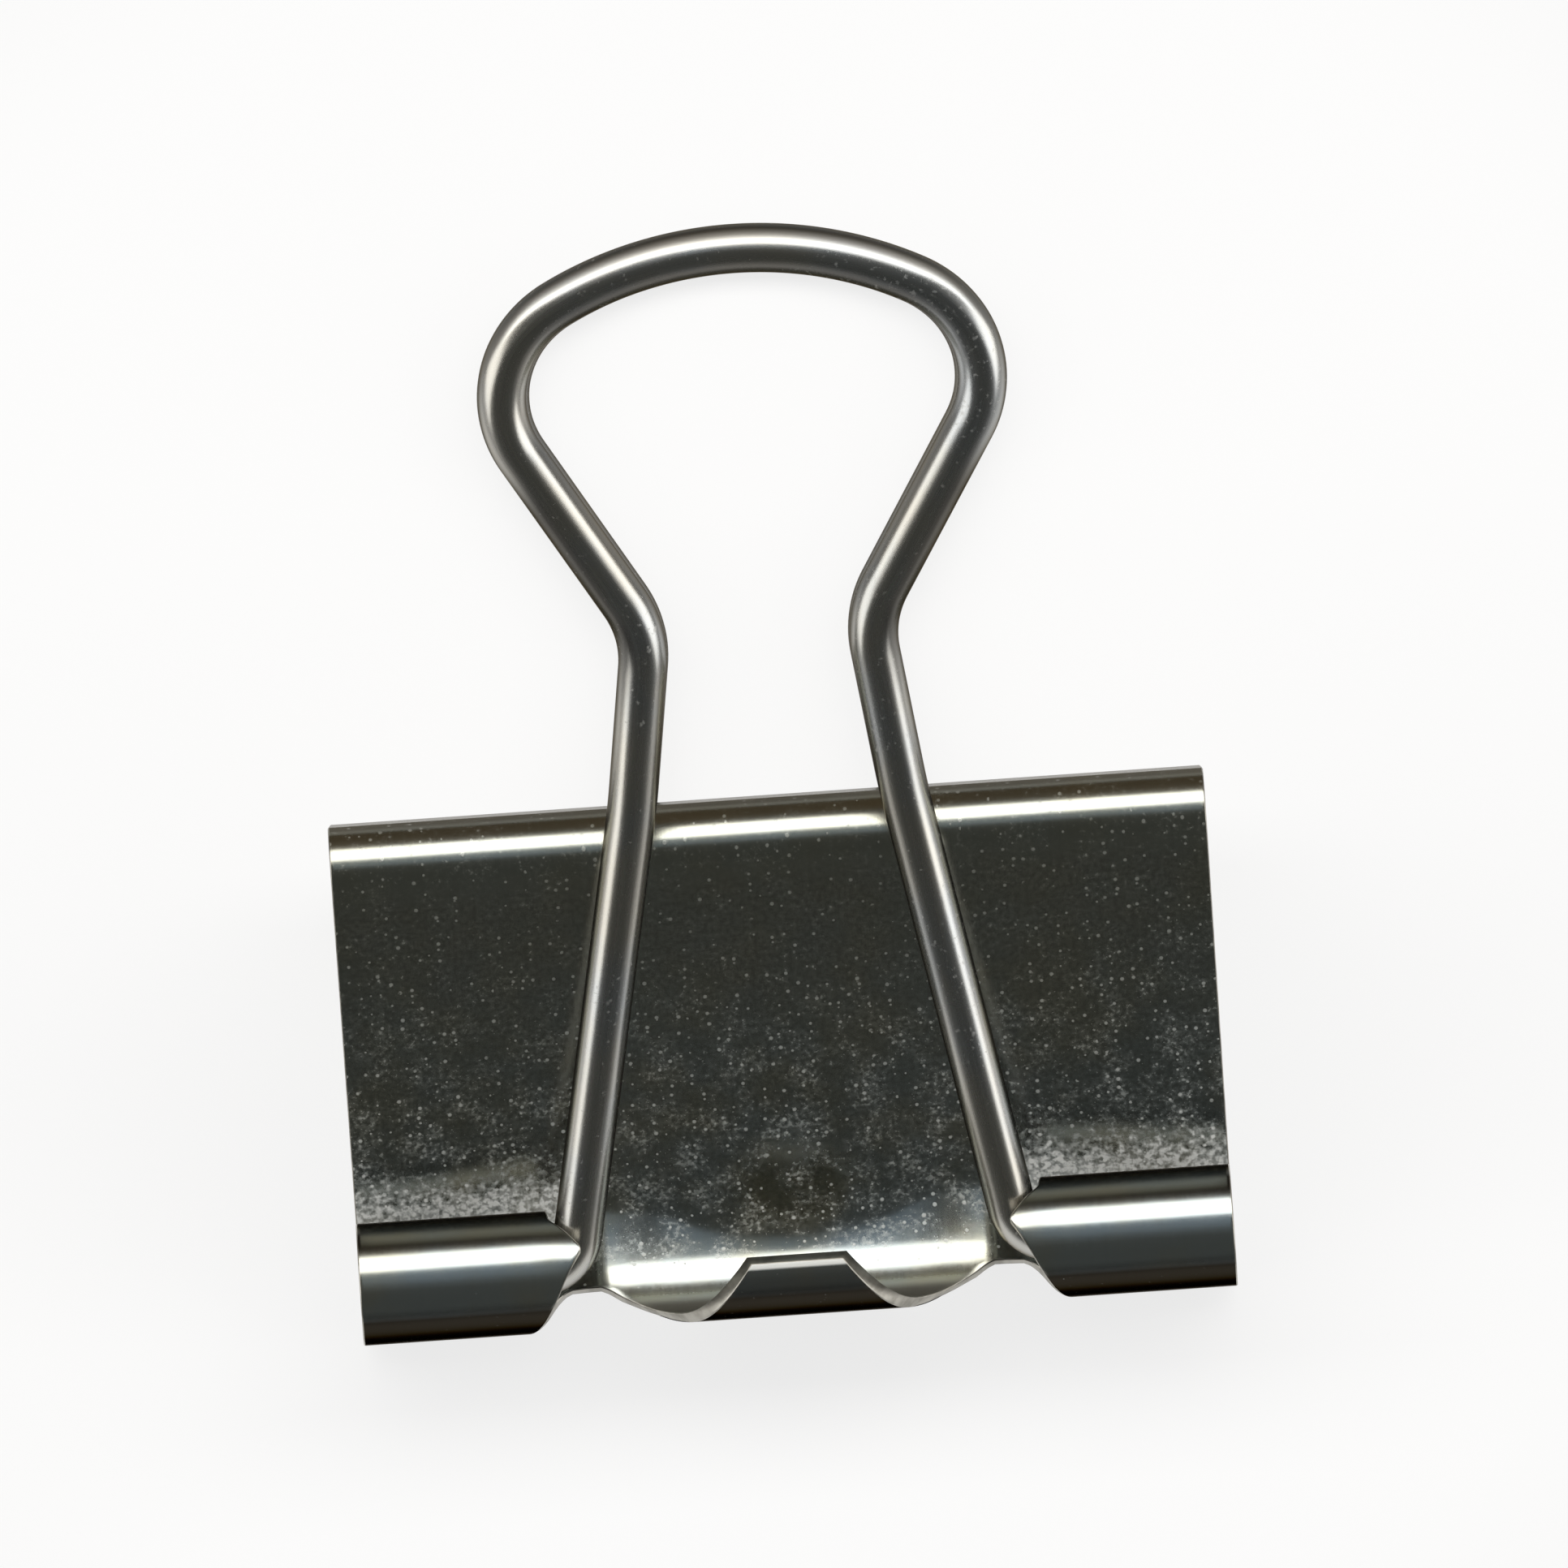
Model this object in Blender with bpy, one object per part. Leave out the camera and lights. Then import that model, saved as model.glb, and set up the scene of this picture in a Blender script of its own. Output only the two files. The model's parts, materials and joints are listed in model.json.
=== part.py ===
"""Foldback clip: one folded spring-steel strip and two wire handles, lying on its side.

The clip is drawn in its own frame first: X across the width, Y from the jaws to the spine,
Z from the rear jaw to the front jaw, with the two barrel axes on Y = 0. An empty then tips
this frame so that the rear barrels and the tip of the rear handle rest on the floor Z = 0.
"""
import math

import bmesh
import bpy

# Strip of sheet
WIDTH = 0.0320
SHEET = 0.00038
SPINE_WIDTH = 0.0146
BODY_DEPTH = 0.01677
BEND_RADIUS = 0.0015
FLEX_SHARE = 0.5

# Rolled lip along each jaw
ROLL_RADIUS = 0.00223
LEAD_RADIUS = 0.0050
LEAD_TURN = math.radians(20.0)

# Cut edges of the lip, as half widths and as places round the roll (0 front, 90 top)
BARREL_LOW_HALF = 0.0100
BARREL_POINT_HALF = 0.0085
BARREL_POINT_TURN = math.radians(382.0)
BARREL_TOP_HALF = 0.0093
NOTCH_OUTER_HALF = 0.0086
NOTCH_INNER_HALF = 0.0069
NOTCH_TOP_TURN = math.radians(202.0)
TAB_LOW_HALF = 0.00445
TAB_END_HALF = 0.00193
TAB_END_TURN = math.radians(353.5)
LIP_BOTTOM_TURN = math.radians(270.0)
CUT_CORNER = 0.00045

# Wire handle, measured along its own plane from the pin
WIRE = 0.0018
HANDLE_LENGTH = 0.0398
CROWN_RADIUS = 0.0135
CROWN_TURN = math.radians(29.8)
SHOULDER_HALF = 0.0103
SHOULDER_DOWN = 0.0038
SHOULDER_RADIUS = 0.0043
NECK_HALF = 0.00394
NECK_UP = 0.0250
NECK_RADIUS = 0.0042
KNEE_HALF = 0.00483
KNEE_UP = 0.0181
KNEE_RADIUS = 0.0400
PIN_BEND_RADIUS = 0.0017
PIN_INSET = 0.0016

# Clearances
BITE_GAP = 0.00030
SLIT = 0.00025
ROLL_GAP = 0.00020
WIRE_GAP = 0.00020
LEG_GAP = 0.00012

# Fineness of the curves
ROLL_STEP = math.radians(15.0)
BEND_STEP = math.radians(13.0)
WIRE_STEP = math.radians(9.0)
CORNER_STEP = math.radians(30.0)
WIRE_SIDES = 4
CUT_SNAP = 1e-7

# Sizes that follow from the ones above
HALF_WIDTH = WIDTH / 2
HALF_SHEET = SHEET / 2
WIRE_RADIUS = WIRE / 2
ROLL_MID = ROLL_RADIUS - HALF_SHEET
ROLL_BORE = ROLL_RADIUS - SHEET
BEND_MID = BEND_RADIUS - HALF_SHEET
LEAD_OFFSET = LEAD_RADIUS - ROLL_MID

# Barrel axis, bend centre and flex line of the front half, as (Z, Y)
BARREL_Z = BITE_GAP / 2 + ROLL_RADIUS
BEND_Z = SPINE_WIDTH / 2 - BEND_RADIUS
BEND_Y = BODY_DEPTH - BEND_RADIUS
FLEX_Z = BEND_Z * FLEX_SHARE
REACH = math.hypot(BEND_Z - BARREL_Z, BEND_Y)
REACH_LEAN = math.atan2(BEND_Z - BARREL_Z, BEND_Y)

# Lean of the plate, tangent to the bend on one side and to the lead-in of the roll on the other
LEAD_REACH = LEAD_RADIUS - LEAD_OFFSET * math.cos(LEAD_TURN)
PLATE_LEAN = REACH_LEAN + math.asin((BEND_MID + LEAD_REACH) / REACH)
PLATE_LENGTH = math.sqrt(REACH ** 2 - (BEND_MID + LEAD_REACH) ** 2) - LEAD_OFFSET * math.sin(LEAD_TURN)

# The roll starts where the lead-in ends and stops just short of the plate's outer face
ROLL_START = math.radians(180.0) - PLATE_LEAN + LEAD_TURN
ROLL_STOP_COSINE = (ROLL_GAP + HALF_SHEET - LEAD_REACH) / ROLL_RADIUS
ROLL_STOP = math.radians(360.0) + math.acos(ROLL_STOP_COSINE) - PLATE_LEAN

# Lean of a folded-back handle, which lies against the bend, and tilt of the whole clip at rest
HANDLE_LEAN = REACH_LEAN + math.asin((BEND_RADIUS + WIRE_GAP + WIRE_RADIUS) / REACH)
REST_TILT = HANDLE_LEAN - math.asin((ROLL_RADIUS - WIRE_RADIUS) / HANDLE_LENGTH)

# Leg of the handle, which swings clear of the barrel's point
LEG_ROOM = BARREL_POINT_HALF - LEG_GAP - WIRE_RADIUS - KNEE_HALF
LEG_LEAN = math.atan2(LEG_ROOM, KNEE_UP - ROLL_BORE)
LEG_HALF = BARREL_POINT_HALF - LEG_GAP - WIRE_RADIUS / math.cos(LEG_LEAN)
FOOT_HALF = LEG_HALF + (LEG_HALF - KNEE_HALF) * ROLL_BORE / (KNEE_UP - ROLL_BORE)
PIN_END = HALF_WIDTH - PIN_INSET


def nickel(name, colour, roughness):
    """Bright nickel plating with its own colour and roughness."""
    material = bpy.data.materials.new(name)
    material.use_nodes = True
    shader = material.node_tree.nodes["Principled BSDF"]
    shader.inputs["Base Color"].default_value = (*colour, 1.0)
    shader.inputs["Metallic"].default_value = 1.0
    shader.inputs["Roughness"].default_value = roughness
    return material


def add_piece(name, data, frame, material):
    """Put a mesh or curve into the scene under the clip's frame."""
    piece = bpy.data.objects.new(name, data)
    bpy.context.scene.collection.objects.link(piece)
    piece.parent = frame
    data.materials.append(material)
    return piece


def rounded(corners, step):
    """Replace each (x, y, radius) corner of an open path by its arc, cut to fit its sides."""
    points = [corners[0][:2]]
    reach = []
    for before, here, after in zip(corners, corners[1:], corners[2:]):
        turn = math.atan2(after[1] - here[1], after[0] - here[0])
        turn -= math.atan2(here[1] - before[1], here[0] - before[0])
        turn = math.remainder(turn, math.tau)
        reach.append((turn, abs(here[2] * math.tan(turn / 2))))
    sides = [math.dist(a[:2], b[:2]) for a, b in zip(corners, corners[1:])]
    pads = [0.0] + [tangent for turn, tangent in reach] + [0.0]
    room = [min(1.0, side / (a + b)) if a + b > 0.0 else 1.0 for side, a, b in zip(sides, pads, pads[1:])]
    for index, (turn, tangent) in enumerate(reach):
        tangent *= min(room[index], room[index + 1])
        before, here = corners[index], corners[index + 1]
        heading = math.atan2(here[1] - before[1], here[0] - before[0])
        radius = tangent / math.tan(abs(turn) / 2)
        start_x = here[0] - tangent * math.cos(heading)
        start_y = here[1] - tangent * math.sin(heading)
        normal = heading + math.copysign(math.pi / 2, turn)
        centre_x = start_x + radius * math.cos(normal)
        centre_y = start_y + radius * math.sin(normal)
        count = max(1, math.ceil(abs(turn) / step))
        for part in range(count + 1):
            angle = normal + math.pi + turn * part / count
            points.append((centre_x + radius * math.cos(angle), centre_y + radius * math.sin(angle)))
    points.append(corners[-1][:2])
    return points


def strip_runs():
    """Runs of the strip's middle line from the flex line to the end of the roll: length, turn."""
    return [
        (BEND_Z - FLEX_Z - SLIT / 2, 0.0),
        (BEND_MID * (math.pi / 2 + PLATE_LEAN), -(math.pi / 2 + PLATE_LEAN)),
        (PLATE_LENGTH, 0.0),
        (LEAD_RADIUS * LEAD_TURN, LEAD_TURN),
        (ROLL_MID * (ROLL_STOP - ROLL_START), ROLL_STOP - ROLL_START),
    ]


def strip_point(along, lift):
    """Place (Z, Y), from the flex axis, of a point so far along the strip and above its middle."""
    z, y, heading = SLIT / 2, -HALF_SHEET, 0.0
    for length, turn in strip_runs():
        part = min(max(along / length, 0.0), 1.0)
        swing = turn * part
        if abs(swing) > 0.0:
            radius = length / turn
            z += radius * (math.sin(heading + swing) - math.sin(heading))
            y -= radius * (math.cos(heading + swing) - math.cos(heading))
        else:
            z += length * part * math.cos(heading)
            y += length * part * math.sin(heading)
        heading += swing
        along -= length
    return z - lift * math.sin(heading), y + lift * math.cos(heading)


def strip_cuts():
    """Lengths along the strip where it is folded, close enough for smooth bends."""
    cuts = []
    start = 0.0
    for length, turn in strip_runs():
        step = BEND_STEP if turn < 0.0 else ROLL_STEP
        count = max(1, math.ceil(abs(turn) / step))
        cuts += [start + length * part / count for part in range(count)]
        start += length
    return cuts[1:]


def jaw_outline():
    """Flat outline of a jaw as (x, length): plate, notches, barrel tongues and centre tab."""
    lengths = [length for length, turn in strip_runs()]
    roll_from = sum(lengths[:-1])

    def at(turn):
        return roll_from + ROLL_MID * (turn - ROLL_START)

    half = [
        (HALF_WIDTH, 0.0, 0.0),
        (HALF_WIDTH, at(ROLL_STOP), 0.0),
        (BARREL_TOP_HALF, at(ROLL_STOP), CUT_CORNER),
        (BARREL_POINT_HALF, at(BARREL_POINT_TURN), CUT_CORNER),
        (BARREL_LOW_HALF, at(LIP_BOTTOM_TURN), CUT_CORNER),
        (NOTCH_OUTER_HALF, at(NOTCH_TOP_TURN), CUT_CORNER),
        (NOTCH_INNER_HALF, at(NOTCH_TOP_TURN), CUT_CORNER),
        (TAB_LOW_HALF, at(LIP_BOTTOM_TURN), CUT_CORNER),
        (TAB_END_HALF, at(TAB_END_TURN), CUT_CORNER),
        (0.0, at(TAB_END_TURN), 0.0),
    ]
    right = rounded(half, CORNER_STEP)
    left = [(-x, length) for x, length in reversed(right[:-1])]
    return right[:-1] + left


def make_jaw(name, side, frame, material):
    """Cut a jaw from flat sheet, give it its thickness and fold it along the strip's line."""
    sheet = bmesh.new()
    sheet.faces.new([sheet.verts.new((x, length, -HALF_SHEET)) for x, length in jaw_outline()])
    for cut in strip_cuts():
        flat = sheet.verts[:] + sheet.edges[:] + sheet.faces[:]
        fold_line = (0.0, cut, 0.0)
        bmesh.ops.bisect_plane(sheet, geom=flat, dist=CUT_SNAP, plane_co=fold_line, plane_no=(0.0, 1.0, 0.0))
    bmesh.ops.triangulate(sheet, faces=[face for face in sheet.faces if len(face.verts) > 4])
    skin = bmesh.ops.extrude_face_region(sheet, geom=sheet.faces[:], use_keep_orig=True)
    raised = [item for item in skin["geom"] if isinstance(item, bmesh.types.BMVert)]
    bmesh.ops.translate(sheet, vec=(0.0, 0.0, SHEET), verts=raised)
    bmesh.ops.recalc_face_normals(sheet, faces=sheet.faces[:])
    for vertex in sheet.verts:
        z, y = strip_point(vertex.co.y, vertex.co.z)
        vertex.co = (vertex.co.x, y, z)
    bmesh.ops.reverse_faces(sheet, faces=sheet.faces[:])
    mesh = bpy.data.meshes.new(name)
    sheet.to_mesh(mesh)
    sheet.free()
    mesh.shade_smooth()
    jaw = add_piece(name, mesh, frame, material)
    jaw.location = (0.0, BODY_DEPTH, side * FLEX_Z)
    jaw.rotation_euler.y = 0.0 if side > 0 else math.pi
    return jaw


def make_spine(name, frame, material):
    """Flat middle of the strip, between the two flex lines."""
    block = bmesh.new()
    bmesh.ops.create_cube(block, size=1.0)
    bmesh.ops.scale(block, vec=(WIDTH, SHEET, 2 * FLEX_Z - SLIT), verts=block.verts)
    mesh = bpy.data.meshes.new(name)
    block.to_mesh(mesh)
    block.free()
    spine = add_piece(name, mesh, frame, material)
    spine.location = (0.0, BODY_DEPTH - HALF_SHEET, 0.0)
    return spine


def handle_path():
    """Middle line of the wire from one pin over the loop to the other, as (x, length)."""
    crown_up = HANDLE_LENGTH + CROWN_RADIUS * (1 / math.cos(CROWN_TURN) - 1)
    half = [
        (PIN_END, 0.0, 0.0),
        (FOOT_HALF, 0.0, PIN_BEND_RADIUS),
        (KNEE_HALF, KNEE_UP, KNEE_RADIUS),
        (NECK_HALF, NECK_UP, NECK_RADIUS),
        (SHOULDER_HALF, HANDLE_LENGTH - SHOULDER_DOWN, SHOULDER_RADIUS),
    ]
    crown = [(0.0, crown_up, CROWN_RADIUS)]
    return rounded(half + crown + [(-x, up, radius) for x, up, radius in reversed(half)], WIRE_STEP)


def make_handle(name, side, frame, material):
    """Wire handle on its pin axis, folded back so that it lies against the bend."""
    curve = bpy.data.curves.new(name, "CURVE")
    curve.dimensions = "3D"
    curve.twist_mode = "Z_UP"
    curve.bevel_depth = WIRE_RADIUS
    curve.bevel_resolution = WIRE_SIDES
    curve.use_fill_caps = True
    curve.render_resolution_u = 0
    points = handle_path()
    spline = curve.splines.new("POLY")
    spline.points.add(len(points) - 1)
    for point, (x, up) in zip(spline.points, points):
        point.co = (x, up, 0.0, 1.0)
    spline.use_smooth = True
    handle = add_piece(name, curve, frame, material)
    handle.location = (0.0, 0.0, side * BARREL_Z)
    handle.rotation_euler.x = side * HANDLE_LEAN
    return handle


def rest_frame():
    """Frame of the clip, tipped onto its rear side, with the origin under the middle of its box."""
    jaw_edge = -BARREL_Z * math.sin(REST_TILT) - ROLL_RADIUS
    tip_y = HANDLE_LENGTH * math.cos(HANDLE_LEAN)
    tip_z = BARREL_Z + HANDLE_LENGTH * math.sin(HANDLE_LEAN)
    tip_edge = tip_y * math.cos(REST_TILT) + tip_z * math.sin(REST_TILT) + WIRE_RADIUS
    frame = bpy.data.objects.new("clip_frame", None)
    bpy.context.scene.collection.objects.link(frame)
    frame.rotation_euler.x = REST_TILT
    frame.location = (0.0, -(jaw_edge + tip_edge) / 2, ROLL_RADIUS + BARREL_Z * math.cos(REST_TILT))
    return frame


def build():
    """Clear the scene and make the five bodies of the clip."""
    for old in list(bpy.data.objects):
        bpy.data.objects.remove(old, do_unlink=True)
    frame = rest_frame()
    make_spine("spine", frame, nickel("spine_nickel", (0.53, 0.51, 0.46), 0.20))
    make_jaw("front_jaw", 1, frame, nickel("front_jaw_nickel", (0.54, 0.52, 0.47), 0.19))
    make_jaw("rear_jaw", -1, frame, nickel("rear_jaw_nickel", (0.53, 0.51, 0.47), 0.20))
    make_handle("front_handle", 1, frame, nickel("front_handle_nickel", (0.58, 0.55, 0.50), 0.15))
    make_handle("rear_handle", -1, frame, nickel("rear_handle_nickel", (0.57, 0.54, 0.49), 0.16))


build()
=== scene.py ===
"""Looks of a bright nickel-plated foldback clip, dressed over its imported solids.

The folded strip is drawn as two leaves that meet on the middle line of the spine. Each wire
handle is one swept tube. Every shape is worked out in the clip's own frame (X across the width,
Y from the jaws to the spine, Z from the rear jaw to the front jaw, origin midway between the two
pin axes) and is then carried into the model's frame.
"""

import json
import logging
import math
from collections.abc import Sequence
from dataclasses import dataclass, field
from enum import Enum
from functools import partial, reduce

import bpy
import numpy as np
from mathutils import Matrix, Vector


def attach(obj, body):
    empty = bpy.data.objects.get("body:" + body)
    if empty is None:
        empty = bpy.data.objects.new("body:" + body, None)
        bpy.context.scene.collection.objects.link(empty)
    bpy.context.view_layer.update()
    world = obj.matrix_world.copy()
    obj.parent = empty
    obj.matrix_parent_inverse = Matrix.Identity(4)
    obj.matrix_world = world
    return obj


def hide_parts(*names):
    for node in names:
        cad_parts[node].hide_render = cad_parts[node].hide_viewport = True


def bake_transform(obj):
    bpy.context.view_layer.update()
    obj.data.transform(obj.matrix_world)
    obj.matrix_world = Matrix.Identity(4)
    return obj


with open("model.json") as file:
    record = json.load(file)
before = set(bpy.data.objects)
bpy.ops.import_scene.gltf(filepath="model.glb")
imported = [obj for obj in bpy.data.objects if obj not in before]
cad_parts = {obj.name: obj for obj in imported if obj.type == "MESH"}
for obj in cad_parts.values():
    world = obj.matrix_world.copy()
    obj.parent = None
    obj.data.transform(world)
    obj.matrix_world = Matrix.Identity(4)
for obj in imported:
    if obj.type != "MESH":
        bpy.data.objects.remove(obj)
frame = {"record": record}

LOG = logging.getLogger("foldback_clip")
MILLI = 0.001
TINY = 1e-9
WINDOW_STEPS = 21
Pair = tuple[float, float]
Colour = tuple[float, float, float]
Floats = tuple[float, ...]
Socket = bpy.types.NodeSocket
Value = float | Socket


class Side(Enum):
    """The two mirrored halves of the clip, by the sign of their Z."""

    FRONT = 1
    REAR = -1

    @property
    def word(self) -> str:
        """The half's name as the record's bodies and nodes use it."""
        return self.name.lower()


class Zone(Enum):
    """Columns of a leaf: the middle tab, the two notches and the two barrels."""

    TAB = 0
    NOTCH = 1
    BARREL = 2


class MeshLayer(Enum):
    """Named point layers that carry a finish along the surface, in millimetres."""

    STRIP = "strip_mm"
    WIRE = "wire_mm"


@dataclass(frozen=True)
class ClipFrame:
    """The clip's own axes and main distances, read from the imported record."""

    origin: np.ndarray
    across: np.ndarray
    deep: np.ndarray
    thick: np.ndarray
    barrel_z: float
    body_depth: float

    @classmethod
    def from_record(cls, record: dict) -> "ClipFrame":
        """Find the axes from the two pin axes and the spine's face.

        Args:
            record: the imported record, with its joints and its one mount.

        Returns:
            The clip's frame, in the model's metres.
        """
        joints = {joint["name"]: joint["pos_m"] for joint in record["behaviour"]["joints"]}
        front, rear = (np.array(joints[f"{side.word}_handle_pivot"], float) for side in Side)
        origin = (front + rear) / 2
        gap = float(np.linalg.norm(front - rear))
        thick = (front - rear) / gap
        across = np.array((1.0, 0.0, 0.0))
        deep = np.cross(thick, across)
        face = np.array(record["mounts"][0]["pos_m"], float)
        return cls(
            origin=origin,
            across=across,
            deep=deep,
            thick=thick,
            barrel_z=gap / 2,
            body_depth=float((face - origin) @ deep),
        )

    def place(self, x: np.ndarray, y: np.ndarray, z: np.ndarray) -> np.ndarray:
        """Carry points of the clip's frame into the model's frame.

        Args:
            x: distances across the width.
            y: distances from the jaws towards the spine.
            z: distances from the rear half towards the front half.

        Returns:
            Points as rows of three, origin plus each distance along its axis.
        """
        spread = np.broadcast_arrays(np.asarray(x, float), np.asarray(y, float), np.asarray(z, float))
        x, y, z = (part.reshape(-1, 1) for part in spread)
        return self.origin + x * self.across + y * self.deep + z * self.thick


def add_object(name: str, data: bpy.types.ID) -> bpy.types.Object:
    """Make an object of a mesh, lamp or camera and link it into the scene.

    Args:
        name: the object's name.
        data: what it shows.

    Returns:
        The new object.
    """
    made = bpy.data.objects.new(name, data)
    bpy.context.scene.collection.objects.link(made)
    return made


@dataclass
class MeshParts:
    """Points, faces and layers of one mesh before it goes into the scene."""

    points: np.ndarray
    faces: list[list[int]]
    finish_of_face: np.ndarray
    layer: MeshLayer
    layer_values: np.ndarray
    crease_points: np.ndarray

    def to_object(self, name: str, materials: list[bpy.types.Material]) -> bpy.types.Object:
        """Put the parts into a smooth mesh object that sits at the origin.

        Args:
            name: the piece's name.
            materials: its materials, in the order that finish_of_face counts.

        Returns:
            The new object. Edges between two crease points are sharp.
        """
        mesh = bpy.data.meshes.new(name)
        mesh.from_pydata(self.points.tolist(), [], self.faces)
        for material in materials:
            mesh.materials.append(material)
        mesh.polygons.foreach_set("material_index", self.finish_of_face.astype(np.int32))
        layer = mesh.attributes.new(self.layer.value, "FLOAT_VECTOR", "POINT")
        layer.data.foreach_set("vector", (self.layer_values / MILLI).astype(np.float32).ravel())
        mesh.shade_smooth()
        ends = np.empty(len(mesh.edges) * 2, np.int32)
        mesh.edges.foreach_get("vertices", ends)
        sharp = self.crease_points[ends.reshape(-1, 2)].all(axis=1)
        mesh.edges.foreach_set("use_edge_sharp", sharp)
        mesh.update()
        return add_object(name, mesh)


class Graph:
    """A node tree with short calls that add nodes, set their sockets and wire them."""

    def __init__(self, tree: bpy.types.NodeTree) -> None:
        """Keep the tree that the nodes go into."""
        self.tree = tree

    @classmethod
    def for_material(cls, name: str) -> tuple[bpy.types.Material, "Graph"]:
        """Make a material with nodes.

        Args:
            name: the material's name.

        Returns:
            The material and its graph.
        """
        material = bpy.data.materials.new(name)
        material.use_nodes = True
        return material, cls(material.node_tree)

    def fill(self, node: bpy.types.Node, inputs: dict) -> None:
        """Set or link a node's sockets.

        Args:
            node: the node.
            inputs: socket name or number to a value or to another node's socket.
        """
        for key, value in inputs.items():
            if isinstance(value, Socket):
                self.tree.links.new(value, node.inputs[key])
            else:
                node.inputs[key].default_value = value

    def add(self, kind: str, options: dict | None = None, inputs: dict | None = None) -> bpy.types.Node:
        """Add one node.

        Args:
            kind: the node's type name.
            options: its own settings.
            inputs: as for fill.

        Returns:
            The new node.
        """
        node = self.tree.nodes.new(kind)
        for key, value in (options or {}).items():
            setattr(node, key, value)
        self.fill(node, inputs or {})
        return node

    def surface(self, inputs: dict) -> None:
        """Set or link sockets of the material's own shader."""
        self.fill(self.tree.nodes["Principled BSDF"], inputs)

    def layer(self, layer: MeshLayer) -> Socket:
        """Read one of the mesh's point layers."""
        return self.add("ShaderNodeAttribute", {"attribute_name": layer.value}).outputs["Vector"]

    def parts(self, vector: Socket) -> list[Socket]:
        """Split a vector into X, Y and Z."""
        return list(self.add("ShaderNodeSeparateXYZ", None, {0: vector}).outputs)

    def math(self, operation: str, first: Value, second: Value = 0.0) -> Socket:
        """Add a Math node on two values or sockets and return its result."""
        return self.add("ShaderNodeMath", {"operation": operation}, {0: first, 1: second}).outputs[0]

    def product(self, *values: Value) -> Socket:
        """Multiply values or sockets."""
        return reduce(partial(self.math, "MULTIPLY"), values)

    def total(self, *values: Value) -> Socket:
        """Add values or sockets."""
        return reduce(partial(self.math, "ADD"), values)

    def highest(self, *values: Value) -> Socket:
        """Take the highest of values or sockets."""
        return reduce(partial(self.math, "MAXIMUM"), values)

    def ramp(self, value: Value, low: float, high: float, start: Value = 0.0, end: float = 1.0) -> Socket:
        """Smooth step of a value: start at and before low, end at and after high."""
        inputs = {"Value": value, "From Min": low, "From Max": high, "To Min": start, "To Max": end}
        return self.add("ShaderNodeMapRange", {"interpolation_type": "SMOOTHSTEP"}, inputs).outputs[0]

    def mix(self, share: Value, first: Colour | Socket, second: Colour | Socket) -> Socket:
        """Mix two colours or colour sockets by a share from 0 to 1 and return the result."""
        pair = [(*c, 1.0) if isinstance(c, tuple) else c for c in (first, second)]
        inputs = {0: share, 6: pair[0], 7: pair[1]}
        return self.add("ShaderNodeMix", {"data_type": "RGBA"}, inputs).outputs[2]

    def stretched(self, vector: Socket, scale: Colour) -> Socket:
        """Scale a pattern's coordinates by three factors and return them."""
        return self.add("ShaderNodeMapping", None, {"Vector": vector, "Scale": scale}).outputs[0]

    def noise(self, vector: Socket, scale: float, detail: float) -> Socket:
        """Cloudy noise from 0 to 1 at a scale per millimetre, with that many finer octaves."""
        inputs = {"Vector": vector, "Scale": scale, "Detail": detail, "Roughness": 0.55}
        return self.add("ShaderNodeTexNoise", None, inputs).outputs[0]

    def dots(self, vector: Socket, scale: float, chance: Value) -> Socket:
        """Scattered round dots of random size, at most one per cell.

        Args:
            vector: the coordinates, of which X and Y are read.
            scale: cells per millimetre.
            chance: share of the cells that hold a dot, from 0 to 1.

        Returns:
            A socket that is 1 in a dot and 0 outside.
        """
        options = {"voronoi_dimensions": "2D"}
        cells = self.add("ShaderNodeTexVoronoi", options, {"Vector": vector, "Scale": scale}).outputs
        draw = self.add("ShaderNodeSeparateColor", None, {0: cells["Color"]}).outputs
        held = self.ramp(self.total(draw[0], chance), 0.97, 1.03)
        radius = self.total(self.product(draw[1], 0.16), 0.12)
        away = self.math("DIVIDE", cells["Distance"], radius)
        return self.product(held, self.ramp(away, 0.45, 1.0, 1.0, 0.0))

    def bump(self, height: Value, depth: float, under: Socket | None = None) -> Socket:
        """Tilt the surface by a pattern of heights.

        Args:
            height: the pattern.
            depth: how far a height of 1 stands out.
            under: normal of the surface that it lies on, if that is tilted too.

        Returns:
            The tilted surface's normal.
        """
        inputs = {"Height": height, "Strength": 1.0, "Distance": depth}
        if under is not None:
            inputs["Normal"] = under
        return self.add("ShaderNodeBump", None, inputs).outputs[0]


@dataclass(frozen=True)
class DustyNickel:
    """Nickel under some dust and pale painted sheen or highlight, which have their own colour and take shine
    and metal away.
    """

    edge_tint: Colour
    dust_colour: Colour
    dust_metal_loss: float
    dust_roughness: float = 0.40

    def shade(self, graph: Graph, metal: Socket, dust_and_sheen: Socket, rough: Socket, normal: Socket) -> None:
        """Wire the material's shader.

        Args:
            graph: the material's graph.
            metal: colour of the clean metal.
            dust_and_sheen: share of dust, and of pale colour that is a painted highlight or sheen.
            rough: roughness of the clean metal.
            normal: the surface's normal.
        """
        graph.surface({
            "Base Color": graph.mix(dust_and_sheen, metal, self.dust_colour),
            "Metallic": graph.math("SUBTRACT", 1.0, graph.product(dust_and_sheen, self.dust_metal_loss)),
            "Roughness": graph.total(rough, graph.product(dust_and_sheen, self.dust_roughness)),
            "Specular Tint": (*self.edge_tint, 1.0),
            "Normal": normal,
        })


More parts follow.
